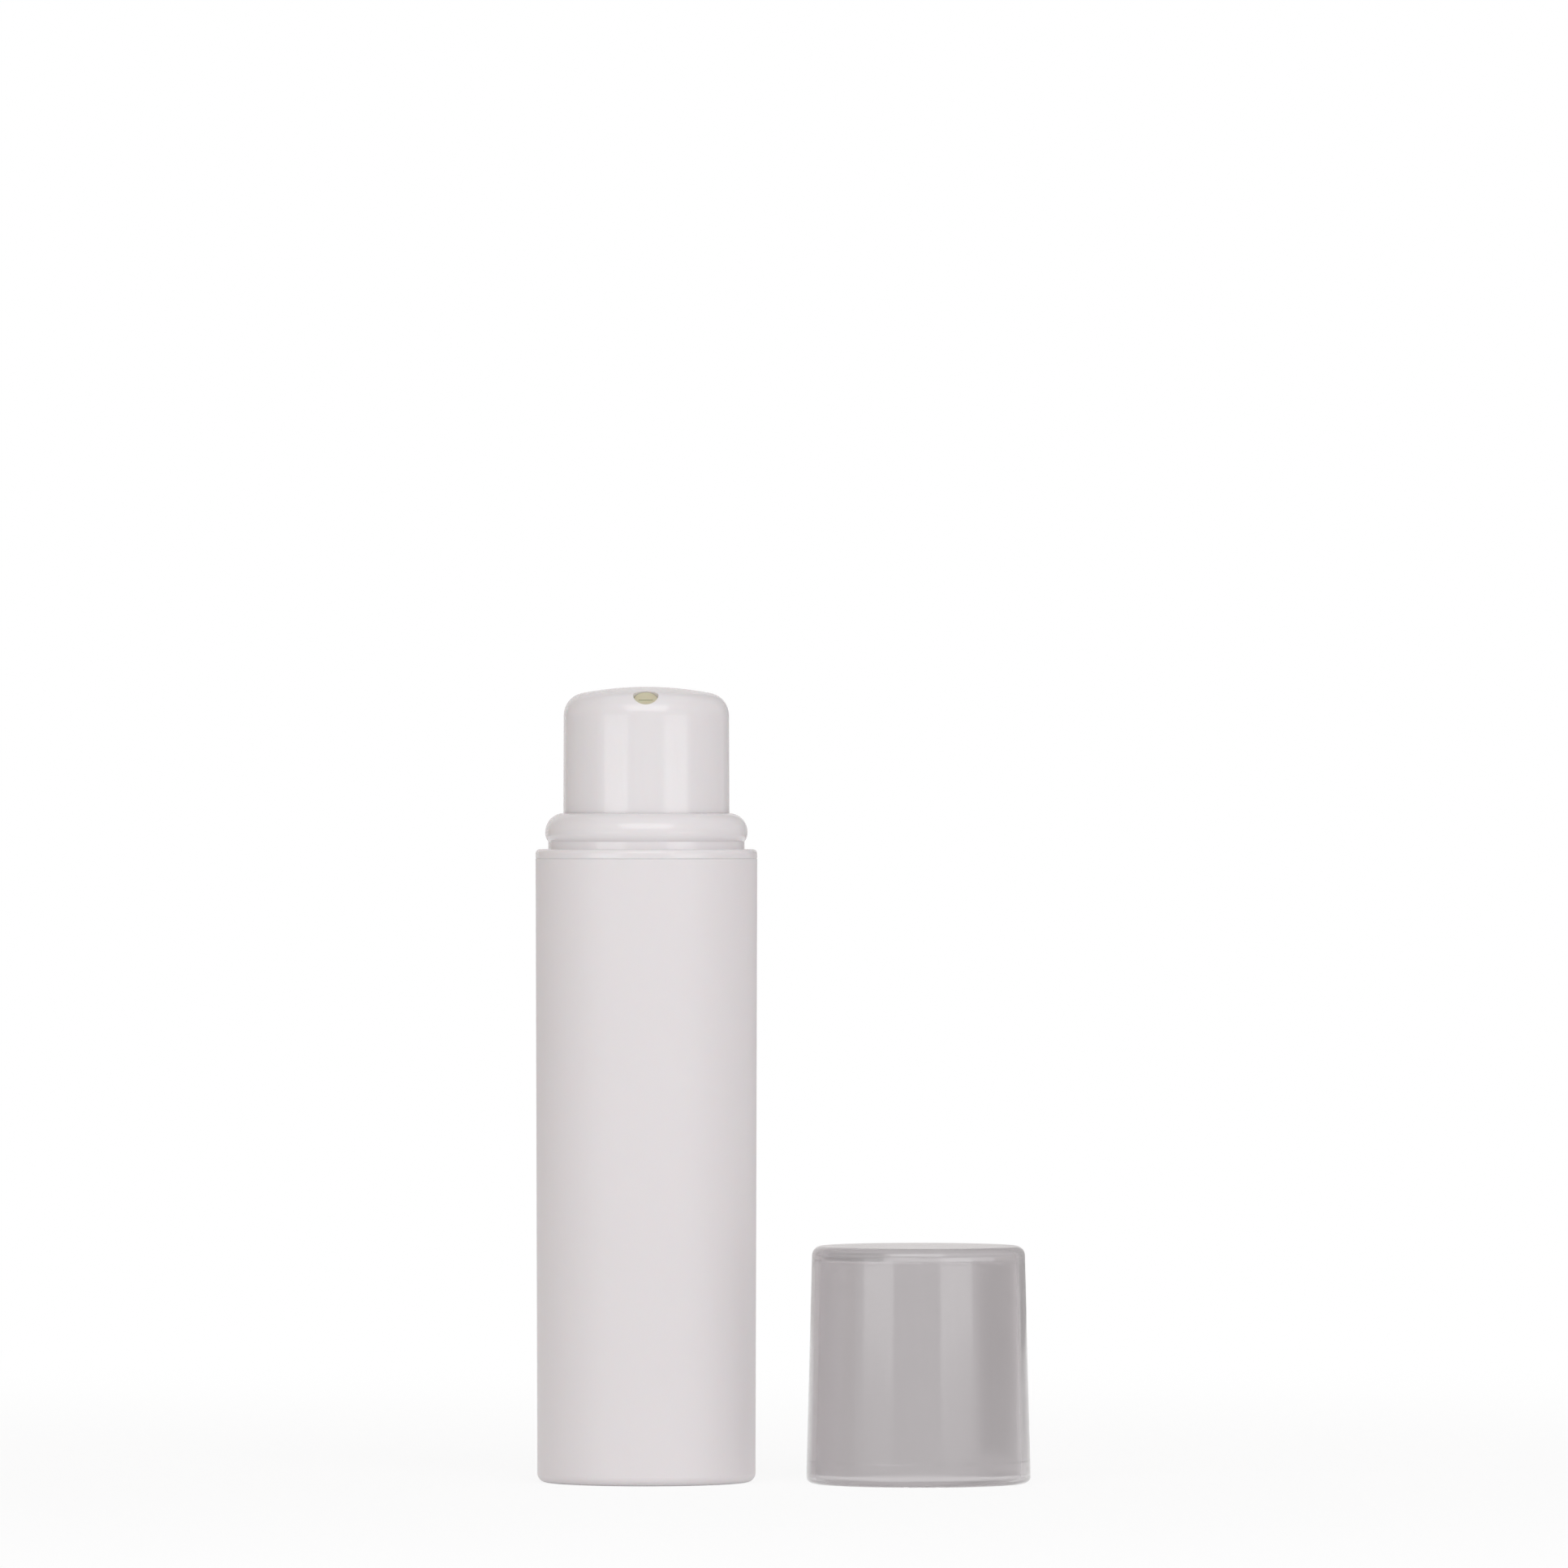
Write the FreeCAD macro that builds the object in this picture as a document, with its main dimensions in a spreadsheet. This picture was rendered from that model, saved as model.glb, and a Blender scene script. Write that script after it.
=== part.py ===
"""Airless pump bottle with its cap taken off, in millimetres.

+Z is up and the origin is the centre of the bottle's foot. The outlet of the pump head points to -Y
and the cap stands on the same table at the +X side.
"""
import FreeCAD, Part
import Sketcher
import math
import os
import re

# Every independent size once, in millimetres and the tilt in degrees
SIZES = {
    # Bottle: drafted outside, straight bore for the follower piston, wider mouth for the collar
    "bottle_height": 70.85,
    "bottle_base_diameter": 24.8,
    "bottle_draft": 0.2,
    "bottle_wall": 1.4,
    "bottle_floor": 1.4,
    "bottle_floor_round": 0.5,
    "bottle_edge_round": 1.0,
    "foot_ring": 3.0,
    "foot_recess_depth": 0.6,
    "vent_diameter": 1.6,
    "mouth_step": 0.3,
    "mouth_room": 1.0,
    "mouth_lead": 0.3,
    "seam_round": 0.1,
    "snap_drop": 4.2,
    "snap_band": 1.3,
    "snap_depth": 0.25,
    # Collar: flange flush with the bottle, neck with the cap bead, plug in the mouth, web for the pump
    "flange_thickness": 1.05,
    "flange_round": 0.5,
    "neck_inset": 1.44,
    "bead_proud": 0.34,
    "bead_rise": 1.95,
    "bead_band": 0.1,
    "bead_under_round": 1.6,
    "collar_rise": 4.1,
    "collar_lip": 1.9,
    "land_rise": 0.7,
    "plug_wall": 1.05,
    "plug_depth": 8.4,
    "plug_lead": 0.4,
    "web_thickness": 1.2,
    "seat_wall": 0.8,
    "seat_lip": 0.2,
    "seat_lip_height": 0.6,
    # Pump engine: gasket, housing, stem guide
    "gasket_thickness": 0.8,
    "gasket_width": 0.6,
    "pump_flange_diameter": 13.6,
    "pump_flange_thickness": 1.0,
    "chamber_diameter": 8.0,
    "chamber_wall": 1.0,
    "guide_flange_thickness": 1.0,
    "guide_plug_depth": 1.3,
    "guide_plug_wall": 1.17,
    "guide_hub_wall": 1.2,
    "guide_hub_height": 0.6,
    "guide_roof": 1.3,
    # Inlet valve
    "ball_diameter": 3.0,
    "ball_lift": 0.8,
    "inlet_inset": 0.6,
    "inlet_length": 1.6,
    "inlet_wall": 1.1,
    "nub_height": 0.5,
    "nub_width": 0.9,
    "nub_hold": 0.25,
    # Plunger: stem, valve plug and dosing piston
    "stroke": 4.5,
    "stem_wall": 1.0,
    "stem_top_drop": 1.0,
    "stem_shoulder_proud": 0.5,
    "stem_shoulder_height": 0.95,
    "stem_bead": 0.1,
    "stem_bead_slope": 0.4,
    "stem_bead_drop": 1.2,
    "port_diameter": 1.0,
    "port_rise": 0.7,
    "plug_clearance": 0.7,
    "plug_head_height": 1.5,
    "plug_cone_drop": 0.7,
    "plug_shaft_length": 1.8,
    "piston_lag": 0.6,
    "piston_height": 4.3,
    "piston_lip": 0.9,
    "piston_relief": 0.3,
    "piston_lip_wall": 0.6,
    "piston_land": 0.7,
    "gallery_gap": 0.4,
    # Return spring around the stem socket
    "spring_gap": 0.05,
    "spring_wire": 0.6,
    "spring_turns": 6.5,
    # Pump head: glossy shell, inner core, soft valve in the slanted outlet
    "head_rise": 14.35,
    "head_draft": 0.05,
    "head_wall": 1.2,
    "head_top_wall": 1.4,
    "head_lip": 0.3,
    "head_lip_height": 0.8,
    "head_lip_gap": 0.5,
    "crown_radius": 38.0,
    "head_edge_round": 2.6,
    "core_flange_thickness": 1.2,
    "core_flange_drop": 9.3,
    "core_snap": 0.15,
    "socket_wall": 1.14,
    "outlet_tilt": 40.0,
    "outlet_inset": 1.6,
    "outlet_drop": 1.4,
    "outlet_diameter": 2.84,
    "outlet_tube_wall": 1.0,
    "channel_diameter": 1.8,
    "valve_inset": 0.22,
    "valve_length": 4.6,
    "valve_bore": 1.2,
    "valve_membrane": 0.4,
    "slit_length": 1.6,
    "slit_width": 0.1,
    # Follower piston
    "follower_height": 15.0,
    "follower_face_rise": 8.25,
    "follower_wall": 0.9,
    "follower_web": 1.2,
    "follower_lip_land": 0.9,
    "follower_lip_slope": 0.9,
    "follower_relief": 0.3,
    # Cap
    "cap_height": 26.9,
    "cap_rim_wall": 1.17,
    "cap_draft": 0.645,
    "cap_top_round": 1.1,
    "cap_rim_round": 0.8,
    "cap_wall": 1.15,
    "cap_top_wall": 1.5,
    "cap_ceiling_round": 0.6,
    "cap_step": 0.16,
    "cap_step_height": 2.6,
    "cap_snap": 0.17,
    "cap_snap_height": 0.75,
    "cap_snap_slope": 0.34,
    "cap_lead": 0.15,
    "cap_stand_x": 30.9,
    "cap_stand_y": -3.0,
    # Fits, all radial or axial gaps
    "fit_gap": 0.03,
    "seal_gap": 0.04,
    "turn_gap": 0.06,
    "slide_gap": 0.1,
    "head_gap": 0.15,
    "end_gap": 0.4,
}

document = FreeCAD.newDocument("airless_pump_bottle")
sheet = document.addObject("Spreadsheet::Sheet", "dims")
for row, (name, size) in enumerate(SIZES.items(), start=1):
    sheet.set(f"A{row}", name)
    sheet.set(f"B{row}", str(size))
    sheet.setAlias(f"B{row}", name)
document.recompute()


def bound(expression):
    """The expression with every size name pointed at its cell in the sheet."""
    words = re.split(r"([a-z_]+)", expression)
    return "".join(f"dims.{word}" if word in SIZES else word for word in words)


def value(expression):
    """The number that an expression of sizes has now."""
    return float(sheet.evalExpression(bound(expression)))


def origin_feature(body, role):
    return next(feature for feature in body.Origin.OriginFeatures if feature.Role == role)


def new_body(label):
    body = document.addObject("PartDesign::Body", label)
    body.Label = label
    return body


def new_sketch(body, name, role):
    """A sketch on one of the body's own origin planes."""
    sketch = body.newObject("Sketcher::SketchObject", f"{body.Label}_{name}")
    sketch.AttachmentSupport = [(origin_feature(body, role), "")]
    sketch.MapMode = "FlatFace"
    return sketch


def pin(sketch, kind, geometry, point, expression):
    """Holds one point's distance from the sketch origin at an expression of sizes."""
    if expression == "0":
        axis = -2 if kind == "DistanceX" else -1
        sketch.addConstraint(Sketcher.Constraint("PointOnObject", geometry, point, axis))
        return
    index = sketch.addConstraint(Sketcher.Constraint(kind, -1, 1, geometry, point, value(expression)))
    sketch.setExpression(f"Constraints[{index}]", bound(expression))


def arc_between(start, end, radius, turn):
    """The short arc from start to end, with its centre at the left or the right of the way."""
    chord = end - start
    side = FreeCAD.Vector(-chord.y, chord.x, 0).normalize()
    rise = math.sqrt(radius ** 2 - (chord.Length / 2) ** 2)
    centre = (start + end) / 2 + side * (rise if turn == "left" else -rise)
    first, last = (start, end) if turn == "left" else (end, start)
    angles = [math.atan2(point.y - centre.y, point.x - centre.x) for point in (first, last)]
    return Part.ArcOfCircle(Part.Circle(centre, FreeCAD.Vector(0, 0, 1), radius), *angles)


def draw_outline(sketch, corners):
    """A closed outline of corners (across, up). One with a radius and a turn is reached by an arc."""
    points = [FreeCAD.Vector(value(corner[0]), value(corner[1]), 0) for corner in corners]
    starts, ends = [], []
    for index, corner in enumerate(corners):
        before, here = points[index - 1], points[index]
        if len(corner) == 2:
            sketch.addGeometry(Part.LineSegment(before, here))
        else:
            sketch.addGeometry(arc_between(before, here, value(corner[2]), corner[3]))
        backwards = len(corner) > 2 and corner[3] == "right"
        starts.append(2 if backwards else 1)
        ends.append(1 if backwards else 2)
    for index, corner in enumerate(corners):
        following = (index + 1) % len(corners)
        joint = Sketcher.Constraint("Coincident", index, ends[index], following, starts[following])
        sketch.addConstraint(joint)
        pin(sketch, "DistanceX", index, ends[index], corner[0])
        pin(sketch, "DistanceY", index, ends[index], corner[1])
        if len(corner) > 2:
            radius = sketch.addConstraint(Sketcher.Constraint("Radius", index, value(corner[2])))
            sketch.setExpression(f"Constraints[{radius}]", bound(corner[2]))


def turned(body, name, corners, kind="PartDesign::Revolution"):
    """Material turned about Z from an outline of radii and heights, or cut away with a Groove."""
    sketch = new_sketch(body, f"{name}_outline", "XZ_Plane")
    draw_outline(sketch, corners)
    feature = body.newObject(kind, f"{body.Label}_{name}")
    feature.Profile = sketch
    feature.ReferenceAxis = (sketch, ["V_Axis"])
    feature.Angle = 360
    sketch.Visibility = False
    document.recompute()
    return feature


def lathe(label, corners):
    """A body that is one turned piece."""
    body = new_body(label)
    turned(body, "turned", corners)
    return body


def circle_sketch(body, name, role, diameter):
    """A sketch with one circle round its origin."""
    sketch = new_sketch(body, name, role)
    round_edge = Part.Circle(FreeCAD.Vector(), FreeCAD.Vector(0, 0, 1), value(diameter) / 2)
    sketch.addGeometry(round_edge)
    sketch.addConstraint(Sketcher.Constraint("Coincident", 0, 3, -1, 1))
    index = sketch.addConstraint(Sketcher.Constraint("Diameter", 0, value(diameter)))
    sketch.setExpression(f"Constraints[{index}]", bound(diameter))
    return sketch


def offset_sketch(sketch, across, up, tilt=None):
    """Moves a sketch on the XY plane along Y and Z and tips it towards -Y."""
    if tilt:
        turn = FreeCAD.Rotation(FreeCAD.Vector(1, 0, 0), value(tilt))
        sketch.AttachmentOffset = FreeCAD.Placement(FreeCAD.Vector(), turn)
        sketch.setExpression(".AttachmentOffset.Rotation.Angle", bound(tilt))
    sketch.setExpression(".AttachmentOffset.Base.y", bound(across))
    sketch.setExpression(".AttachmentOffset.Base.z", bound(up))


def extruded(body, name, sketch, length, kind="PartDesign::Pad", backwards=False):
    """A pad or pocket from a sketch, its length bound to the sheet."""
    feature = body.newObject(kind, f"{body.Label}_{name}")
    feature.Profile = sketch
    feature.Length = value(length)
    feature.setExpression("Length", bound(length))
    feature.Reversed = backwards
    sketch.Visibility = False
    document.recompute()
    return feature


# Heights of the bottle and collar, from the table up
floor_top = "(foot_recess_depth + bottle_floor)"
snap_height = "(bottle_height - snap_drop)"
flange_top = "(bottle_height + flange_thickness)"
bead_height = f"({flange_top} + bead_rise)"
collar_top = f"({flange_top} + collar_rise)"
land_low = f"({flange_top} + land_rise)"
head_low = f"({land_low} - head_lip_gap - head_lip_height)"
web_top = f"({head_low} - stroke - end_gap)"

# Radii of the bottle and collar
base_r = "(bottle_base_diameter / 2)"
rim_r = f"({base_r} + bottle_draft)"
bore_r = f"({base_r} - bottle_wall)"
foot_r = f"({base_r} - foot_ring)"
mouth_r = f"({bore_r} + mouth_step)"
mouth_low = "(bottle_height - plug_depth - mouth_room)"
plug_r = f"({mouth_r} - fit_gap)"
plug_in_r = f"({plug_r} - plug_wall)"
neck_r = f"({rim_r} - neck_inset)"
bead_r = f"({neck_r} + bead_proud)"
land_r = f"({bead_r} - collar_lip)"
head_low_r = f"({land_r} - head_gap)"

# Pump engine, stacked on the collar's web
flange_low = f"({web_top} + gasket_thickness)"
flange_high = f"({flange_low} + pump_flange_thickness)"
pump_top = f"({flange_high} + guide_flange_thickness)"
pump_flange_r = "(pump_flange_diameter / 2)"
chamber_r = "(chamber_diameter / 2)"
housing_r = f"({chamber_r} + chamber_wall)"
guide_low = f"({flange_high} - guide_plug_depth)"
guide_roof_low = f"({pump_top} - guide_roof)"
guide_bore_r = f"({chamber_r} - fit_gap - guide_plug_wall)"
shoulder_r = f"({guide_bore_r} - slide_gap)"
stem_r = f"({shoulder_r} - stem_shoulder_proud)"
stem_bore_r = f"({stem_r} - stem_wall)"
guide_hub_r = f"({stem_r} + slide_gap + guide_hub_wall)"

# Plunger, hung from the guide's roof by the shoulder of the stem
shoulder_high = f"({guide_roof_low} - slide_gap)"
shoulder_low = f"({shoulder_high} - stem_shoulder_height)"
piston_high = f"({shoulder_low} - fit_gap - piston_lag)"
piston_low = f"({piston_high} - piston_height)"
gallery_r = f"({stem_r} + gallery_gap)"
plug_head_r = f"({chamber_r} - plug_clearance)"
cone_slope = f"(plug_cone_drop / ({plug_head_r} - {stem_r}))"
stem_low = f"({piston_low} - fit_gap + {cone_slope} * ({gallery_r} - {stem_r}))"
plug_low = f"({stem_low} - plug_head_height)"

# Inlet valve, below the lowest place that the plug reaches
chamber_floor = f"({plug_low} - stroke - end_gap)"
nub_low = f"({chamber_floor} - nub_height)"
ball_r = "(ball_diameter / 2)"
nub_r = f"({ball_r} - nub_hold)"
ball_height = f"({nub_low} - fit_gap - sqrt({ball_r} ^ 2 - {nub_r} ^ 2) - ball_lift)"
cone_tip = f"({ball_height} - ({ball_r} + fit_gap) * sqrt(2))"
inlet_r = f"({ball_r} - inlet_inset)"
pocket_r = f"({ball_r} + end_gap)"
inlet_low = f"({cone_tip} + {inlet_r} - inlet_length)"
nozzle_r = f"({inlet_r} + inlet_wall)"
pocket_out_r = f"({pocket_r} + inlet_wall)"

# Pump head
head_top = f"({collar_top} + head_rise)"
head_top_r = f"({head_low_r} - head_draft)"
cavity_r = f"({head_top_r} - head_wall)"
crown_centre = f"({head_top} - crown_radius)"
core_low = f"({head_top} - core_flange_drop - core_flange_thickness)"
core_high = f"({head_top} - core_flange_drop)"
core_r = f"({cavity_r} - fit_gap)"
socket_low = f"({pump_top} + guide_hub_height + stroke + end_gap)"
socket_bore_r = f"({stem_r} + turn_gap)"
socket_r = f"({socket_bore_r} + socket_wall)"
stem_high = f"({core_low} - stem_top_drop)"
socket_end = f"({stem_high} + slide_gap)"
stem_bead_mid = f"({stem_high} - stem_bead_drop)"
outlet_r = f"({head_top_r} - outlet_inset)"
outlet_run = f"({outlet_r} / sin(outlet_tilt))"
outlet_meet = f"({head_top} - outlet_drop - {outlet_r} / tan(outlet_tilt))"

# The bottle: one turned piece with a recessed foot, a vent in the base and a snap groove in the mouth
groove_r = f"{mouth_r} + snap_depth + fit_gap"
lathe("bottle", [
    ("vent_diameter / 2", "foot_recess_depth"),
    (foot_r, "foot_recess_depth"),
    (f"{foot_r} + foot_recess_depth", "0"),
    (f"{base_r} - bottle_edge_round", "0"),
    (base_r, "bottle_edge_round", "bottle_edge_round", "left"),
    (rim_r, "bottle_height - seam_round"),
    (f"{rim_r} - seam_round", "bottle_height", "seam_round", "left"),
    (f"{mouth_r} + mouth_lead", "bottle_height"),
    (mouth_r, "bottle_height - mouth_lead"),
    (mouth_r, f"{snap_height} + snap_band / 2"),
    (groove_r, f"{snap_height} + snap_band / 2 - snap_depth"),
    (groove_r, f"{snap_height} - snap_band / 2 + snap_depth"),
    (mouth_r, f"{snap_height} - snap_band / 2"),
    (mouth_r, mouth_low),
    (bore_r, f"{mouth_low} - mouth_step"),
    (bore_r, f"{floor_top} + bottle_floor_round"),
    (f"{bore_r} - bottle_floor_round", floor_top, "bottle_floor_round", "right"),
    ("vent_diameter / 2", floor_top),
])

# The collar: flange, neck and cap bead outside, guide land for the head inside, plug with snap rib below,
# and a web whose ring clips over the pump
top_round = "(collar_rise - bead_rise)"
top_reach = f"({land_r} - ({bead_r} - {top_round}))"
under_reach = "sqrt(bead_under_round ^ 2 - (bead_under_round - bead_proud) ^ 2)"
neck_high = f"({bead_height} - bead_band - {under_reach})"
seat_r = f"({pump_flange_r} + fit_gap)"
seat_out_r = f"({seat_r} + seat_wall)"
web_hole_r = f"({housing_r} + fit_gap)"
rib_r = f"{plug_r} + snap_depth"
rib_low = f"({snap_height} - (snap_band - snap_depth) / 2)"
rib_high = f"({snap_height} + (snap_band - snap_depth) / 2)"
lathe("collar", [
    (web_hole_r, f"{web_top} - web_thickness"),
    (plug_in_r, f"{web_top} - web_thickness"),
    (plug_in_r, "bottle_height - plug_depth"),
    (f"{plug_r} - plug_lead", "bottle_height - plug_depth"),
    (plug_r, "bottle_height - plug_depth + plug_lead"),
    (plug_r, rib_low),
    (rib_r, f"{rib_low} + snap_depth"),
    (rib_r, f"{rib_high} - snap_depth"),
    (plug_r, rib_high),
    (plug_r, "bottle_height"),
    (f"{rim_r} - seam_round", "bottle_height"),
    (rim_r, "bottle_height + seam_round", "seam_round", "left"),
    (rim_r, f"{flange_top} - flange_round"),
    (f"{rim_r} - flange_round", flange_top, "flange_round", "left"),
    (neck_r, flange_top),
    (neck_r, neck_high),
    (bead_r, f"{bead_height} - bead_band", "bead_under_round", "left"),
    (bead_r, bead_height),
    (land_r, f"{bead_height} + sqrt({top_round} ^ 2 - {top_reach} ^ 2)", top_round, "left"),
    (land_r, land_low),
    (plug_in_r, f"{land_low} - ({plug_in_r} - {land_r})"),
    (plug_in_r, web_top),
    (seat_out_r, web_top),
    (seat_out_r, f"{pump_top} + seat_lip_height"),
    (seat_r, f"{pump_top} + seat_lip_height"),
    (f"{seat_r} - seat_lip", f"{pump_top} + seat_lip_height - seat_lip"),
    (f"{seat_r} - seat_lip", f"{pump_top} + fit_gap"),
    (seat_r, f"{pump_top} + fit_gap"),
    (seat_r, web_top),
    (web_hole_r, web_top),
])

# The gasket: soft ring round the housing that the pump's flange presses on the web
gasket_r = f"({web_hole_r} + gasket_width)"
lathe("pump_gasket", [
    (web_hole_r, web_top),
    (gasket_r, web_top),
    (gasket_r, flange_low),
    (web_hole_r, flange_low),
])

# The pump housing: dosing cylinder with a ball pocket, a seat cone and an inlet below
housing = lathe("pump_housing", [
    (inlet_r, inlet_low),
    (nozzle_r, inlet_low),
    (nozzle_r, f"{cone_tip} + {inlet_r}"),
    (pocket_out_r, f"{cone_tip} + {inlet_r} + {pocket_out_r} - {nozzle_r}"),
    (pocket_out_r, f"{chamber_floor} - chamber_wall"),
    (f"{housing_r} - chamber_wall / 2", f"{chamber_floor} - chamber_wall"),
    (housing_r, f"{chamber_floor} - chamber_wall / 2"),
    (housing_r, flange_low),
    (pump_flange_r, flange_low),
    (pump_flange_r, flange_high),
    (chamber_r, flange_high),
    (chamber_r, chamber_floor),
    (pocket_r, chamber_floor),
    (pocket_r, f"{cone_tip} + {pocket_r}"),
    (inlet_r, f"{cone_tip} + {inlet_r}"),
])

# Three nubs at the mouth of the ball pocket keep the ball in and let the product pass
nub_sketch = new_sketch(housing, "nub_outline", "XY_Plane")
draw_outline(nub_sketch, [
    (nub_r, "nub_width"),
    (nub_r, "0"),
    (f"{pocket_r} + inlet_wall / 2", "0"),
    (f"{pocket_r} + inlet_wall / 2", "nub_width"),
])
offset_sketch(nub_sketch, "-nub_width / 2", nub_low)
nub = extruded(housing, "nub", nub_sketch, "nub_height")
nubs = housing.newObject("PartDesign::PolarPattern", "pump_housing_nubs")
nubs.Originals = [nub]
nubs.Axis = (origin_feature(housing, "Z_Axis"), [""])
nubs.Angle = 360
nubs.Occurrences = 3
housing.Tip = nubs

# The inlet ball, at rest on its seat
ball = document.addObject("Part::Sphere", "inlet_ball")
ball.Label = "inlet_ball"
ball.setExpression("Radius", bound(ball_r))
ball.setExpression(".Placement.Base.z", bound(ball_height))

# The stem guide: closes the housing, stops the stem's shoulder and centres the spring
lathe("stem_guide", [
    (guide_bore_r, guide_low),
    (f"{chamber_r} - fit_gap", guide_low),
    (f"{chamber_r} - fit_gap", flange_high),
    (pump_flange_r, flange_high),
    (pump_flange_r, pump_top),
    (guide_hub_r, pump_top),
    (guide_hub_r, f"{pump_top} + guide_hub_height"),
    (f"{stem_r} + slide_gap", f"{pump_top} + guide_hub_height"),
    (f"{stem_r} + slide_gap", guide_roof_low),
    (guide_bore_r, guide_roof_low),
])

# The stem: hollow rod with a stop shoulder, two ports above the valve plug and a bead under the head
port_height = f"({stem_low} + plug_shaft_length + port_rise)"
stem = lathe("stem", [
    (stem_bore_r, stem_low),
    (stem_r, stem_low),
    (stem_r, shoulder_low),
    (shoulder_r, shoulder_low),
    (shoulder_r, shoulder_high),
    (stem_r, shoulder_high),
    (stem_r, f"{stem_bead_mid} - stem_bead_slope"),
    (f"{stem_r} + stem_bead", stem_bead_mid),
    (stem_r, f"{stem_bead_mid} + stem_bead_slope"),
    (stem_r, f"{stem_high} - slide_gap"),
    (f"{stem_r} - slide_gap", stem_high),
    (stem_bore_r, stem_high),
])
port_sketch = circle_sketch(stem, "port_outline", "XZ_Plane", "port_diameter")
port_sketch.setExpression(".AttachmentOffset.Base.y", bound(port_height))
ports = extruded(stem, "ports", port_sketch, f"{shoulder_r} * 2", "PartDesign::Pocket")
ports.Midplane = True

# The valve plug: cone that closes the piston's lower end, its shaft pressed in the stem
shaft_r = f"({stem_bore_r} - fit_gap)"
lathe("valve_plug", [
    ("0", plug_low),
    (f"{plug_head_r} - end_gap", plug_low),
    (plug_head_r, f"{plug_low} + end_gap"),
    (plug_head_r, f"{stem_low} - plug_cone_drop"),
    (stem_r, stem_low),
    (shaft_r, stem_low),
    (shaft_r, f"{stem_low} + plug_shaft_length - slide_gap"),
    (f"{shaft_r} - slide_gap", f"{stem_low} + plug_shaft_length"),
    ("0", f"{stem_low} + plug_shaft_length"),
])

# The dosing piston: soft sleeve with a lip at both ends, a gallery round the stem and a wiping land above
seal_r = f"({chamber_r} - seal_gap)"
waist_r = f"({seal_r} - piston_relief)"
lip_in_r = f"({seal_r} - piston_lip_wall)"
wipe_r = f"({stem_r} + seal_gap)"
lathe("dosing_piston", [
    (gallery_r, piston_low),
    (waist_r, piston_low),
    (seal_r, f"{piston_low} + piston_relief"),
    (seal_r, f"{piston_low} + piston_lip"),
    (waist_r, f"{piston_low} + piston_lip + piston_relief"),
    (waist_r, f"{piston_high} - piston_lip - piston_relief"),
    (seal_r, f"{piston_high} - piston_lip"),
    (seal_r, piston_high),
    (lip_in_r, piston_high),
    (lip_in_r, f"{piston_high} - piston_lip"),
    (f"{wipe_r} + piston_land", f"{piston_high} - piston_lip"),
    (f"{wipe_r} + piston_land", piston_high),
    (wipe_r, piston_high),
    (wipe_r, f"{piston_high} - piston_land"),
    (gallery_r, f"{piston_high} - piston_land - ({gallery_r} - {wipe_r})"),
])

# The return spring: one wire of quarter turns between the stem guide and the head core
coil_r = f"({guide_hub_r} + spring_gap + spring_wire / 2)"


def coil_point(turn, low, high):
    """A place on the coil and its direction there, turn counted from the lower end."""
    angle = 2 * math.pi * turn
    climb = (high - low) / (2 * math.pi * value("spring_turns"))
    radius = value(coil_r)
    place = FreeCAD.Vector(radius * math.cos(angle), radius * math.sin(angle), low + climb * angle)
    along = FreeCAD.Vector(-radius * math.sin(angle), radius * math.cos(angle), climb).normalize()
    return place, along


def arc_from(place, along, end):
    """The arc that leaves place along a direction and stops at end."""
    chord = end - place
    away = chord - along * chord.dot(along)
    radius = chord.Length ** 2 / (2 * away.Length)
    centre = place + away.normalize() * radius
    middle = ((place + end) / 2 - centre).normalize() * radius + centre
    return Part.Arc(place, middle, end).toShape()


def biarc(first, last):
    """Two arcs that join two places and keep both directions."""
    (start, out), (end, into) = first, last
    chord = end - start
    both = out + into
    bend = 2 * (1 - out.dot(into))
    reach = (-chord.dot(both) + math.sqrt(chord.dot(both) ** 2 + bend * chord.dot(chord))) / bend
    join = (start + end + (out - into) * reach) / 2
    return [arc_from(start, out, join), arc_from(end, into * -1, join)]


wire_r = value("spring_wire / 2")
spring_low = value(f"{pump_top} + fit_gap") + wire_r
spring_high = value(f"{core_low} - fit_gap") - wire_r
quarters = round(value("spring_turns") * 4)
stations = [coil_point(quarter / 4, spring_low, spring_high) for quarter in range(quarters + 1)]
coil_edges = []
for first, last in zip(stations, stations[1:]):
    coil_edges.extend(biarc(first, last))
start_place, start_along = stations[0]
wire_section = Part.Wire(Part.Circle(start_place, start_along, wire_r).toShape())
coil = Part.Wire(Part.__sortEdges__(coil_edges)).makePipeShell([wire_section], True, False)
spring = document.addObject("Part::Feature", "return_spring")
spring.Label = "return_spring"
spring.Shape = coil
spring.Placement = FreeCAD.Placement()
steps = 32
half_turn = steps // 2
two_turns = [coil_point(step / steps, spring_low, spring_high)[0] for step in range(steps * 2)]
least_gap = min(
    (place - other).Length
    for step, place in enumerate(two_turns[:steps])
    for other in two_turns[step + half_turn:step + steps + half_turn]
) - 2 * wire_r
print(f"least gap between turns of the spring: {least_gap:.2f} mm")


def put_on_outlet(sketch, along):
    """Sets a sketch square to the outlet's axis, at a distance along it from the pump's axis."""
    across = f"-({along}) * sin(outlet_tilt)"
    up = f"{outlet_meet} + ({along}) * cos(outlet_tilt)"
    offset_sketch(sketch, across, up, "outlet_tilt")


def slanted_circle(body, name, along, diameter):
    """A circle round the outlet's axis."""
    sketch = circle_sketch(body, name, "XY_Plane", diameter)
    put_on_outlet(sketch, along)
    return sketch


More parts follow.
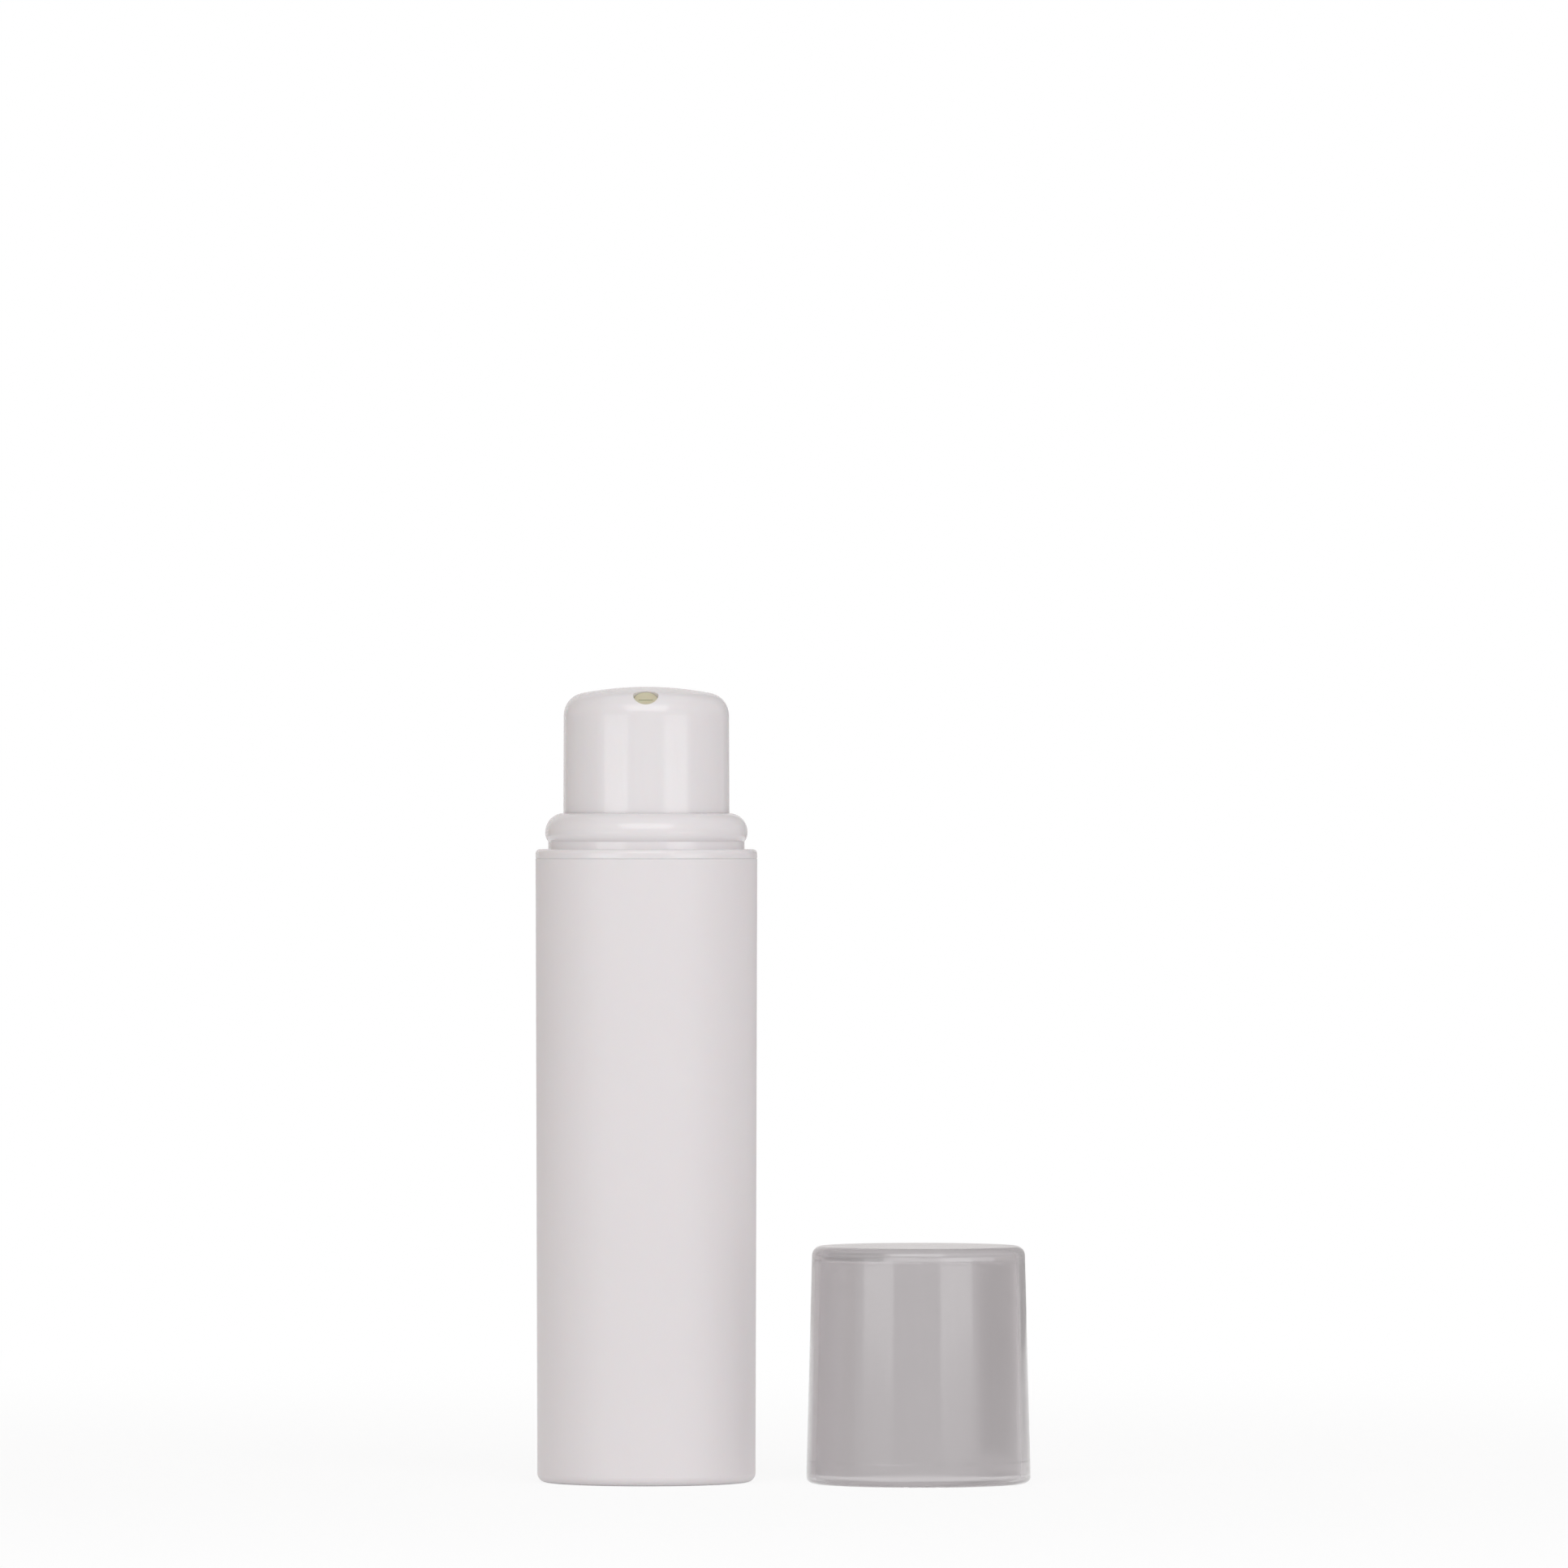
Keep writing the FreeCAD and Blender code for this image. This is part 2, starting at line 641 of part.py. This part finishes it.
def dome(crown, edge, side_r):
    """Corners of a crowned top: the start of the edge round, its meeting with the crown, the summit."""
    edge_r = f"({side_r} - {edge})"
    edge_up = f"sqrt(({crown} - {edge}) ^ 2 - {edge_r} ^ 2)"
    reach = f"{crown} / ({crown} - {edge})"
    return [
        (side_r, f"{crown_centre} + {edge_up}"),
        (f"{edge_r} * {reach}", f"{crown_centre} + {edge_up} * {reach}"),
        ("0", f"{crown_centre} + {crown}"),
    ]


# The head core: carrier clipped in the head, with the stem's socket below and the outlet's tube above
core = new_body("head_core")
turned(core, "carrier", [
    ("0", socket_low),
    (socket_r, socket_low),
    (socket_r, core_low),
    (core_r, core_low),
    (f"{core_r} + core_snap", f"{core_low} + core_flange_thickness / 2"),
    (core_r, core_high),
    ("0", core_high),
])
past_head = "(head_wall * 2)"
tube_end = f"({outlet_run} + {past_head})"
tube_sketch = slanted_circle(core, "tube_outline", "0", "outlet_diameter + outlet_tube_wall * 2")
extruded(core, "tube", tube_sketch, tube_end)
turned(core, "socket", [
    ("0", f"{socket_low} - slide_gap"),
    (f"{socket_bore_r} + slide_gap * 2", f"{socket_low} - slide_gap"),
    (socket_bore_r, f"{socket_low} + slide_gap"),
    (socket_bore_r, f"{stem_bead_mid} - stem_bead_slope"),
    (f"{socket_bore_r} + stem_bead", stem_bead_mid),
    (socket_bore_r, f"{stem_bead_mid} + stem_bead_slope"),
    (socket_bore_r, socket_end),
    ("0", socket_end),
], "PartDesign::Groove")
valve_face = f"({outlet_run} - valve_inset)"
valve_end = f"({valve_face} - valve_length)"
valve_sketch = slanted_circle(core, "valve_seat_outline", tube_end, "outlet_diameter")
extruded(core, "valve_seat", valve_sketch, f"{tube_end} - {valve_end} + slide_gap", "PartDesign::Pocket")
channel_sketch = slanted_circle(core, "channel_outline", tube_end, "channel_diameter")
extruded(core, "channel", channel_sketch, f"{tube_end} + channel_diameter / 2", "PartDesign::Pocket")
fit_start, fit_meet, fit_summit = dome(
    "(crown_radius - head_top_wall - fit_gap)", "(head_edge_round - head_wall)", core_r
)
turned(core, "trim", [
    (core_r, f"{core_high} + fit_gap"),
    fit_start,
    (*fit_meet, "head_edge_round - head_wall", "left"),
    (*fit_summit, "crown_radius - head_top_wall - fit_gap", "left"),
    ("0", f"{head_top} + {past_head}"),
    (f"{head_low_r} + {past_head}", f"{head_top} + {past_head}"),
    (f"{head_low_r} + {past_head}", f"{core_high} + fit_gap"),
], "PartDesign::Groove")

# The outlet valve: soft plug pushed into the slanted outlet, with a slit in the membrane at its outer end
valve = new_body("outlet_valve")
plug_sketch = slanted_circle(valve, "plug_outline", valve_face, "outlet_diameter - fit_gap * 2")
extruded(valve, "plug", plug_sketch, "valve_length", backwards=True)
bore_sketch = slanted_circle(valve, "bore_outline", valve_end, "valve_bore")
extruded(valve, "bore", bore_sketch, "valve_length - valve_membrane", "PartDesign::Pocket", True)
slit_sketch = new_sketch(valve, "slit_outline", "XY_Plane")
draw_outline(slit_sketch, [
    ("-slit_length / 2", "-slit_width / 2"),
    ("slit_length / 2", "-slit_width / 2"),
    ("slit_length / 2", "slit_width / 2"),
    ("-slit_length / 2", "slit_width / 2"),
])
put_on_outlet(slit_sketch, valve_face)
extruded(valve, "slit", slit_sketch, "valve_membrane + slide_gap", "PartDesign::Pocket")

# The head shell: crowned outside, hollow below, with a lip that stays under the collar's land
shell = new_body("head_shell")
shell_start, shell_meet, shell_summit = dome("crown_radius", "head_edge_round", head_top_r)
cavity_start, cavity_meet, cavity_summit = dome(
    "(crown_radius - head_top_wall)", "(head_edge_round - head_wall)", cavity_r
)
turned(shell, "crowned", [
    (cavity_r, head_low),
    (head_low_r, head_low),
    (f"{head_low_r} + head_lip", f"{head_low} + head_lip"),
    (f"{head_low_r} + head_lip", f"{head_low} + head_lip_height - head_lip"),
    (head_low_r, f"{head_low} + head_lip_height"),
    shell_start,
    (*shell_meet, "head_edge_round", "left"),
    (*shell_summit, "crown_radius", "left"),
    cavity_summit,
    (*cavity_meet, "crown_radius - head_top_wall", "right"),
    (*cavity_start, "head_edge_round - head_wall", "right"),
    (cavity_r, core_high),
    (f"{cavity_r} + core_snap", f"{core_low} + core_flange_thickness / 2"),
    (cavity_r, core_low),
])
outlet_sketch = slanted_circle(shell, "outlet_outline", tube_end, "outlet_diameter")
extruded(shell, "outlet", outlet_sketch, f"{tube_end} - {valve_end}", "PartDesign::Pocket")

# The follower piston: cup with a wiping lip at both ends, on the bottle's floor when the bottle is full
follower_low = f"({floor_top} + fit_gap)"
follower_high = f"({follower_low} + follower_height)"
follower_face = f"({follower_low} + follower_face_rise)"
follower_r = f"({bore_r} - seal_gap)"
follower_waist_r = f"({follower_r} - follower_relief)"
follower_in_r = f"({follower_waist_r} - follower_wall)"
low_lip = f"({follower_low} + follower_lip_slope)"
high_lip = f"({follower_high} - follower_lip_land)"
lathe("follower_piston", [
    ("0", f"{follower_face} - follower_web"),
    (follower_in_r, f"{follower_face} - follower_web"),
    (follower_in_r, follower_low),
    (f"{bore_r} - bottle_floor_round - fit_gap", follower_low),
    (follower_r, low_lip),
    (follower_r, f"{low_lip} + follower_lip_land"),
    (follower_waist_r, f"{low_lip} + follower_lip_land + follower_lip_slope"),
    (follower_waist_r, f"{high_lip} - follower_lip_slope"),
    (follower_r, high_lip),
    (follower_r, follower_high),
    (f"{follower_r} - follower_wall / 2", follower_high),
    (follower_in_r, f"{high_lip} - follower_lip_slope"),
    (follower_in_r, follower_face),
    ("0", follower_face),
])

# The cap: drafted shell with a snap ridge near its rim and a step above the room for the collar's bead
cap_groove_r = f"({bead_r} + turn_gap)"
cap_rim_r = f"({cap_groove_r} + cap_rim_wall)"
cap_top_r = f"({cap_rim_r} - cap_draft)"
cap_snap_r = f"({bead_r} - cap_snap)"
cap_step_r = f"({cap_groove_r} - cap_step)"
ceiling = "(cap_height - cap_top_wall)"
ceiling_r = f"({cap_top_r} - cap_wall)"
cap = lathe("overcap", [
    (f"{cap_groove_r} + cap_lead", "0"),
    (f"{cap_rim_r} - cap_rim_round", "0"),
    (cap_rim_r, "cap_rim_round", "cap_rim_round", "left"),
    (cap_top_r, "cap_height - cap_top_round"),
    (f"{cap_top_r} - cap_top_round", "cap_height", "cap_top_round", "left"),
    ("0", "cap_height"),
    ("0", ceiling),
    (f"{ceiling_r} - cap_ceiling_round", ceiling),
    (ceiling_r, f"{ceiling} - cap_ceiling_round", "cap_ceiling_round", "right"),
    (cap_step_r, "cap_step_height"),
    (cap_groove_r, "cap_step_height - cap_step"),
    (cap_groove_r, "cap_snap_height + cap_snap_slope"),
    (cap_snap_r, "cap_snap_height"),
])
cap.setExpression(".Placement.Base.x", bound("cap_stand_x"))
cap.setExpression(".Placement.Base.y", bound("cap_stand_y"))

document.recompute()
for item in document.Objects:
    if "Invalid" in item.State or "Error" in item.State:
        raise RuntimeError(f"{item.Label} did not build: {item.State}")
os.makedirs("parts", exist_ok=True)
for item in document.Objects:
    if item.TypeId not in ("PartDesign::Body", "Part::Sphere", "Part::Feature"):
        continue
    if item.Shape.isNull() or not item.Shape.isValid() or len(item.Shape.Solids) != 1:
        raise RuntimeError(f"{item.Label} is not one valid solid")
    item.Shape.exportStep(f"parts/{item.Label}.step")
    print(f"{item.Label}: {item.Shape.Volume:.1f} mm3")
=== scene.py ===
import math

import bpy
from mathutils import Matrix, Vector


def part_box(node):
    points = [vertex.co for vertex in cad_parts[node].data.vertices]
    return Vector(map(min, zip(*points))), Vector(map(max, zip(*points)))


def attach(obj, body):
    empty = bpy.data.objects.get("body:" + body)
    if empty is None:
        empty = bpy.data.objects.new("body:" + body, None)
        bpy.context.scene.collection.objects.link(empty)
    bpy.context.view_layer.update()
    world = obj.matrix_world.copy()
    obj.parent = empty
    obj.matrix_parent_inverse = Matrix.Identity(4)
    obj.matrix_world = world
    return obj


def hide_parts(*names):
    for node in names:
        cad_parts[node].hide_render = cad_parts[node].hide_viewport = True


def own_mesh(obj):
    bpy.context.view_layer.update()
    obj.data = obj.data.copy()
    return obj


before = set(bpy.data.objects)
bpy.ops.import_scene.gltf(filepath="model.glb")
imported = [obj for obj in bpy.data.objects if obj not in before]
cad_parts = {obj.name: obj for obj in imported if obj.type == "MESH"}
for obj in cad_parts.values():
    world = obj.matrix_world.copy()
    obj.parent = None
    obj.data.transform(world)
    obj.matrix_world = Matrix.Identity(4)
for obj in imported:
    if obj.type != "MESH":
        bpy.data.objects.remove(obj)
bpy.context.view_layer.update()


# The bottle: a straight white sleeve in one piece with its foot, which holds the product and the pump.
# Injection moulded of white polypropylene, in a mould with a fine spark-eroded skin that leaves it satin.
class Finish:
    """One value or colour inside a finish. Sums and products of values add the Math nodes they need."""

    def __init__(self, tree, socket=None):
        self.tree = tree
        self.socket = socket

    def node(self, kind, settings, sockets, output=0):
        """Adds a node: first its settings, then the values or links of its sockets."""
        made = self.tree.nodes.new(kind)
        for name, setting in settings.items():
            setattr(made, name, setting)
        for name, given in sockets.items():
            if isinstance(given, Finish):
                self.tree.links.new(given.socket, made.inputs[name])
            else:
                made.inputs[name].default_value = given
        return Finish(self.tree, made.outputs[output])

    def maths(self, operation, first, second):
        return self.node("ShaderNodeMath", {"operation": operation}, {0: first, 1: second})

    def __add__(self, other):
        return self.maths("ADD", self, other)

    __radd__ = __add__

    def __mul__(self, other):
        return self.maths("MULTIPLY", self, other)

    __rmul__ = __mul__

    def noise(self, size, detail=2.0):
        """Cloudy variation round a half, with features of a size in metres."""
        place = self.node("ShaderNodeTexCoord", {}, {}, "Object")
        return self.node("ShaderNodeTexNoise", {}, {"Vector": place, "Scale": 1 / size, "Detail": detail})

    def blend(self, share, first, second):
        """One colour to another by a share from 0 to 1."""
        return self.node(
            "ShaderNodeMix", {"data_type": "RGBA"}, {0: share, 6: (*first, 1), 7: (*second, 1)}, 2
        )

    def bump(self, height, distance, strength):
        """Small hills and dips, as high as a distance in metres."""
        return self.node(
            "ShaderNodeBump", {}, {"Height": height, "Distance": distance, "Strength": strength}
        )


def new_finish(name, **plain):
    """An empty finish with its shader, whose plain numbers are set on the shader's own sockets."""
    material = bpy.data.materials.new(name)
    material.use_nodes = True
    shader = material.node_tree.nodes["Principled BSDF"]
    for socket, setting in plain.items():
        shader.inputs[socket.replace("_", " ")].default_value = setting
    return material, shader, Finish(material.node_tree)


def feed(shader, **varying):
    """Links what changes over the surface to the shader."""
    for socket, given in varying.items():
        given.tree.links.new(given.socket, shader.inputs[socket.replace("_", " ")])


def dress(node, material):
    """Gives a CAD node its finish."""
    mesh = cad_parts[node].data
    mesh.materials.clear()
    mesh.materials.append(material)


satin_white, satin_shader, satin = new_finish(
    "satin_white", IOR=1.49, Subsurface_Weight=0.08, Subsurface_Scale=0.001
)
satin_cloud = satin.noise(size=0.02)
satin_grain = satin.noise(size=0.00025, detail=3.0)
feed(
    satin_shader,
    Base_Color=satin.blend(satin_cloud, (0.735, 0.700, 0.712), (0.755, 0.720, 0.732)),
    Roughness=0.36 + satin_grain * 0.08,
    Normal=satin.bump(satin_grain, distance=0.00001, strength=0.5),
)
dress("bottle", satin_white)


# The follower piston and the dosing piston: one closes the product chamber from below, the other pumps.
# Both are moulded of soft polyethylene, and slide on the lips that wipe their bores.
soft_white, soft_shader, soft = new_finish(
    "soft_white", IOR=1.51, Subsurface_Weight=0.2, Subsurface_Scale=0.001
)
soft_cloud = soft.noise(size=0.004)
feed(
    soft_shader,
    Base_Color=soft.blend(soft_cloud, (0.70, 0.69, 0.67), (0.76, 0.75, 0.73)),
    Roughness=0.42 + soft_cloud * 0.1,
)
dress("follower_piston", soft_white)
dress("dosing_piston", soft_white)


# The pump's hard parts: housing, guide, stem, valve plug and the core that carries the head.
# Moulded of natural polypropylene, milky because nothing colours it, and snapped or pressed together.
milky, milky_shader, milk = new_finish(
    "natural_polypropylene", IOR=1.49, Subsurface_Weight=0.3, Subsurface_Scale=0.002
)
milk_cloud = milk.noise(size=0.003)
feed(
    milky_shader,
    Base_Color=milk.blend(milk_cloud, (0.66, 0.67, 0.67), (0.74, 0.75, 0.75)),
    Roughness=0.22 + milk_cloud * 0.12,
)
for pump_piece in ("pump_housing", "stem_guide", "stem", "valve_plug", "head_core"):
    dress(pump_piece, milky)


# The gasket: a soft ring that seals the pump against the product chamber.
# Punched from grey elastomer sheet, and squeezed between the pump's flange and the collar's web.
rubber, rubber_shader, rubber_skin = new_finish("gasket_rubber", IOR=1.52)
rubber_cloud = rubber_skin.noise(size=0.0008)
feed(
    rubber_shader,
    Base_Color=rubber_skin.blend(rubber_cloud, (0.10, 0.10, 0.105), (0.16, 0.16, 0.165)),
    Roughness=0.6 + rubber_cloud * 0.2,
)
dress("pump_gasket", rubber)


# The inlet ball: the pump's inlet valve, which the suction of the rising piston lifts off its seat.
# It is ground from stainless steel and lies loose between the seat and the nubs above it.
steel, steel_shader, steel_skin = new_finish("stainless_steel", Metallic=1.0)
steel_cloud = steel_skin.noise(size=0.0004)
feed(
    steel_shader,
    Base_Color=steel_skin.blend(steel_cloud, (0.52, 0.51, 0.50), (0.62, 0.61, 0.60)),
    Roughness=0.18 + steel_cloud * 0.16,
)
dress("inlet_ball", steel)


# The return spring: lifts the head again, and stays dry because it lies outside the product's path.
# It is coiled from drawn stainless wire, stands loose on the stem guide and is squeezed by the head's stroke.
dress("return_spring", steel)
spring_low, spring_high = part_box("return_spring")
spring_turns = 6.5
wire_radius = 0.0003
wire_sides = 14
steps_per_turn = 36
coil_radius = spring_high[0] - wire_radius
coil_start = spring_low[2] + wire_radius
coil_climb = (spring_high[2] - wire_radius - coil_start) / (2 * math.pi * spring_turns)
coil_steps = round(spring_turns * steps_per_turn)
coil_corners = []
for step in range(coil_steps + 1):
    angle = 2 * math.pi * step / steps_per_turn
    outward = Vector((math.cos(angle), math.sin(angle), 0))
    along = Vector((-coil_radius * outward.y, coil_radius * outward.x, coil_climb)).normalized()
    across = along.cross(outward)
    middle = outward * coil_radius + Vector((0, 0, coil_start + coil_climb * angle))
    for side in range(wire_sides):
        turn = 2 * math.pi * side / wire_sides
        coil_corners.append(middle + (outward * math.cos(turn) + across * math.sin(turn)) * wire_radius)
first_end = range(wire_sides - 1, -1, -1)
last_end = range(coil_steps * wire_sides, (coil_steps + 1) * wire_sides)
coil_faces = [tuple(first_end), tuple(last_end)]
for step in range(coil_steps):
    ring = step * wire_sides
    for side in range(wire_sides):
        beside = (side + 1) % wire_sides
        coil_faces.append((ring + side, ring + beside, ring + wire_sides + beside, ring + wire_sides + side))
coil_mesh = bpy.data.meshes.new("return_spring_coil")
coil_mesh.from_pydata(coil_corners, [], coil_faces)
for face in coil_mesh.polygons:
    face.use_smooth = len(face.vertices) < wire_sides
coil_mesh.materials.append(steel)
spring_coil = bpy.data.objects.new("return_spring_coil", coil_mesh)
bpy.context.scene.collection.objects.link(spring_coil)
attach(spring_coil, "container")
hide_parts("return_spring")
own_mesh(spring_coil)


# The collar and the head shell: the shoulder that closes the bottle, and the button that a finger presses.
# Moulded of white polypropylene in polished moulds, so they shine. The collar snaps into the bottle's mouth
# and the shell over the head core.
gloss_white, gloss_shader, gloss = new_finish(
    "gloss_white", IOR=1.49, Subsurface_Weight=0.08, Subsurface_Scale=0.001
)
gloss_cloud = gloss.noise(size=0.015)
gloss_peel = gloss.noise(size=0.0025)
feed(
    gloss_shader,
    Base_Color=gloss.blend(gloss_cloud, (0.735, 0.705, 0.717), (0.755, 0.725, 0.737)),
    Roughness=0.10 + gloss_peel * 0.06,
    Normal=gloss.bump(gloss_peel, distance=0.00001, strength=0.3),
)
dress("collar", gloss_white)
dress("head_shell", gloss_white)


# The outlet valve: a plug with a slit in its face, which opens when the head is pressed.
# Moulded of beige thermoplastic elastomer and pushed into the core's slanted tube from outside.
beige, beige_shader, beige_skin = new_finish(
    "valve_beige", IOR=1.48, Subsurface_Weight=0.2, Subsurface_Scale=0.0005
)
beige_cloud = beige_skin.noise(size=0.0006)
feed(
    beige_shader,
    Base_Color=beige_skin.blend(beige_cloud, (0.55, 0.51, 0.36), (0.60, 0.56, 0.41)),
    Roughness=0.45 + beige_cloud * 0.15,
)
dress("outlet_valve", beige)


# The cap: a slightly tapered cup that snaps over the collar's bead, here pulled off and stood by the bottle.
# Moulded of translucent natural polypropylene, polished, so the light goes through its wall as a soft grey.
# The soft light of the room passes it by, so that it doesn't shade the bottle beside it.
cap_grey, cap_shader, cap_skin = new_finish("cap_grey", IOR=1.49, Transmission_Weight=0.65)
cap_cloud = cap_skin.noise(size=0.012)
feed(
    cap_shader,
    Base_Color=cap_skin.blend(cap_cloud, (0.635, 0.610, 0.618), (0.665, 0.640, 0.648)),
    Roughness=0.08 + cap_cloud * 0.05,
)
dress("overcap", cap_grey)
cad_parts["overcap"].visible_diffuse = False


# The floor and the surroundings: a white table that runs on to the horizon, in a white room.
# Both look white to the camera, in mirrors and through the cap, and light the object at a plain level.
# Near the object the floor shows more of its own matt paint, which keeps the shadow.
def white_for_view(tree, share):
    """A share for rays of the camera, mirrors and glass, and none for the light that falls on the object."""
    rays = Finish(tree)
    seen = 0
    for kind in ("Is Camera Ray", "Is Glossy Ray", "Is Transmission Ray"):
        seen = rays.maths("MAXIMUM", rays.node("ShaderNodeLightPath", {}, {}, kind), seen)
    return seen * share


def stage_sheet(name, corners, faces):
    """A sheet of the studio, which isn't part of the object."""
    mesh = bpy.data.meshes.new(name)
    mesh.from_pydata(corners, [], faces)
    made = bpy.data.objects.new(name, mesh)
    bpy.context.scene.collection.objects.link(made)
    return made


floor_half = 4.0
floor_middle = (0.015, 0, 0)
floor_near = 0.05
floor_far = 0.4
floor_near_white = 0.85
floor = stage_sheet(
    "studio_floor",
    [(x * floor_half, y * floor_half, 0) for x, y in ((-1, -1), (1, -1), (1, 1), (-1, 1))],
    [(0, 1, 2, 3)],
)
floor_paint = bpy.data.materials.new("floor_white")
floor_paint.use_nodes = True
floor_tree = floor_paint.node_tree
floor_tree.nodes.remove(floor_tree.nodes["Principled BSDF"])
floor_base = Finish(floor_tree)
floor_place = floor_base.node("ShaderNodeTexCoord", {}, {}, "Object")
floor_reach = floor_base.node(
    "ShaderNodeVectorMath", {"operation": "DISTANCE"}, {0: floor_place, 1: floor_middle}, "Value"
)
floor_white_share = floor_base.node(
    "ShaderNodeMapRange",
    {"interpolation_type": "SMOOTHSTEP"},
    {
        "Value": floor_reach,
        "From Min": floor_near,
        "From Max": floor_far,
        "To Min": floor_near_white,
        "To Max": 1.0,
    },
)
floor_shade = floor_base.node("ShaderNodeBsdfDiffuse", {}, {"Color": (0.92, 0.92, 0.92, 1)})
floor_glow = floor_base.node("ShaderNodeEmission", {}, {"Strength": 1.0})
floor_mix = floor_base.node(
    "ShaderNodeMixShader",
    {},
    {0: white_for_view(floor_tree, floor_white_share), 1: floor_shade, 2: floor_glow},
)
floor_tree.links.new(floor_mix.socket, floor_tree.nodes["Material Output"].inputs["Surface"])
floor.data.materials.append(floor_paint)

ambient = 0.56
world = bpy.data.worlds.new("studio_white")
bpy.context.scene.world = world
world.use_nodes = True
world_tree = world.node_tree
world_tree.nodes["Background"].inputs["Color"].default_value = (1, 1, 1, 1)
world_level = white_for_view(world_tree, 1 - ambient) + ambient
world_tree.links.new(world_level.socket, world_tree.nodes["Background"].inputs["Strength"])


# The cards: curved matt sheets that stand round the object, out of the camera's sight.
# They give the white pieces their soft grey edges. The mirrored one calms the shine on the tops,
# and the dark flag close behind the cap is only met by light that passes through the cap:
# it is painted shade, a dark sheet that puts a darker band on the cap's right side.
def around(azimuth, distance, height):
    """A place round the object: azimuth 0 is in front of it and 90 at its right."""
    angle = math.radians(azimuth)
    return Vector((distance * math.sin(angle), -distance * math.cos(angle), height))


card_height = 0.9
card_steps = 24


def card(name, first, last, distance, shade):
    """A curved matt sheet that stands from one azimuth to another."""
    turns = [first + (last - first) * step / card_steps for step in range(card_steps + 1)]
    corners = [around(turn, distance, up) for turn in turns for up in (0, card_height)]
    faces = [(2 * step, 2 * step + 2, 2 * step + 3, 2 * step + 1) for step in range(card_steps)]
    made = stage_sheet(name, corners, faces)
    paint = new_finish(name, Base_Color=(*shade, 1), Roughness=1.0, Specular_IOR_Level=0.0)[0]
    made.data.materials.append(paint)
    made.visible_camera = False
    return made


card("card_left", first=-70, last=-150, distance=0.6, shade=(0.62, 0.58, 0.545))
card("card_right", first=66, last=134, distance=0.6, shade=(0.92, 0.88, 0.89))
card("card_behind", first=136, last=168, distance=0.6, shade=(0.6, 0.6, 0.6))
card_mirrored = card("card_mirrored", first=168, last=210, distance=0.58, shade=(0.92, 0.90, 0.90))
card_mirrored.visible_transmission = False
card_mirrored.visible_diffuse = False
# Painted shade: a dark sheet seen only through the cap, which darkens the cap's right side.
painted_shade_flag = card("painted_shade_flag", first=120, last=147, distance=0.08, shade=(0.05, 0.05, 0.05))
painted_shade_flag.visible_glossy = False
painted_shade_flag.visible_diffuse = False
painted_shade_flag.visible_shadow = False


# The lamps: a large softbox above the camera, and at each side of it a stack of thin strip lamps,
# which draw the upright light bands on the head and the cap.
# A low lamp behind only lifts the shade on the back, and no mirror or glass shows it.
def softbox(name, place, towards, width, height, glow):
    """A rectangular lamp that faces a point. Its glow is how white it looks."""
    lamp = bpy.data.lights.new(name, "AREA")
    lamp.shape = "RECTANGLE"
    lamp.size = width
    lamp.size_y = height
    lamp.energy = glow * math.pi * width * height
    made = bpy.data.objects.new(name, lamp)
    bpy.context.scene.collection.objects.link(made)
    made.location = place
    made.rotation_mode = "QUATERNION"
    made.rotation_quaternion = (towards - place).to_track_quat("-Z", "Y")
    made.visible_camera = False
    return made


softbox(
    "softbox_front",
    place=around(azimuth=0, distance=0.75, height=0.68),
    towards=Vector((0.01, 0, 0.06)),
    width=1.0,
    height=0.6,
    glow=2.15,
)
fill_behind = softbox(
    "fill_behind",
    place=around(azimuth=180, distance=0.45, height=0.09),
    towards=Vector((0.01, 0, 0.05)),
    width=0.5,
    height=0.16,
    glow=1.8,
)
fill_behind.visible_glossy = False
fill_behind.visible_transmission = False
strip_azimuth = 42.5
strip_distance = 0.7
strip_width = 0.44
strip_thickness = 0.0135
strip_heights_and_glows = ((0.030, 3.0), (0.0535, 4.5), (0.083, 4.5))
for side, azimuth in (("left", -strip_azimuth), ("right", strip_azimuth)):
    for level, (strip_height, strip_glow) in enumerate(strip_heights_and_glows):
        softbox(
            f"strip_{side}_{level}",
            place=around(azimuth, strip_distance, strip_height),
            towards=around(azimuth=0, distance=0, height=strip_height),
            width=strip_width,
            height=strip_thickness,
            glow=strip_glow,
        )


# The camera: level with the collar and far away, so that upright edges stay upright and rings look flat.
# The lens is as long as the object's size in the picture needs.
camera_right = 0.01564
camera_height = 0.0793
camera_distance = 1.7
picture_pixels = 1932
pixels_per_metre = 10840
camera_data = bpy.data.cameras.new("camera")
camera = bpy.data.objects.new("camera", camera_data)
bpy.context.scene.collection.objects.link(camera)
camera.location = (camera_right, -camera_distance, camera_height)
camera.rotation_euler = (math.pi / 2, 0, 0)
camera_data.sensor_width = 36
camera_data.lens = camera_data.sensor_width * pixels_per_metre * camera_distance / picture_pixels
camera_data.clip_start = 0.05
camera_data.clip_end = 50
bpy.context.scene.camera = camera
bpy.context.scene.view_settings.view_transform = "Standard"
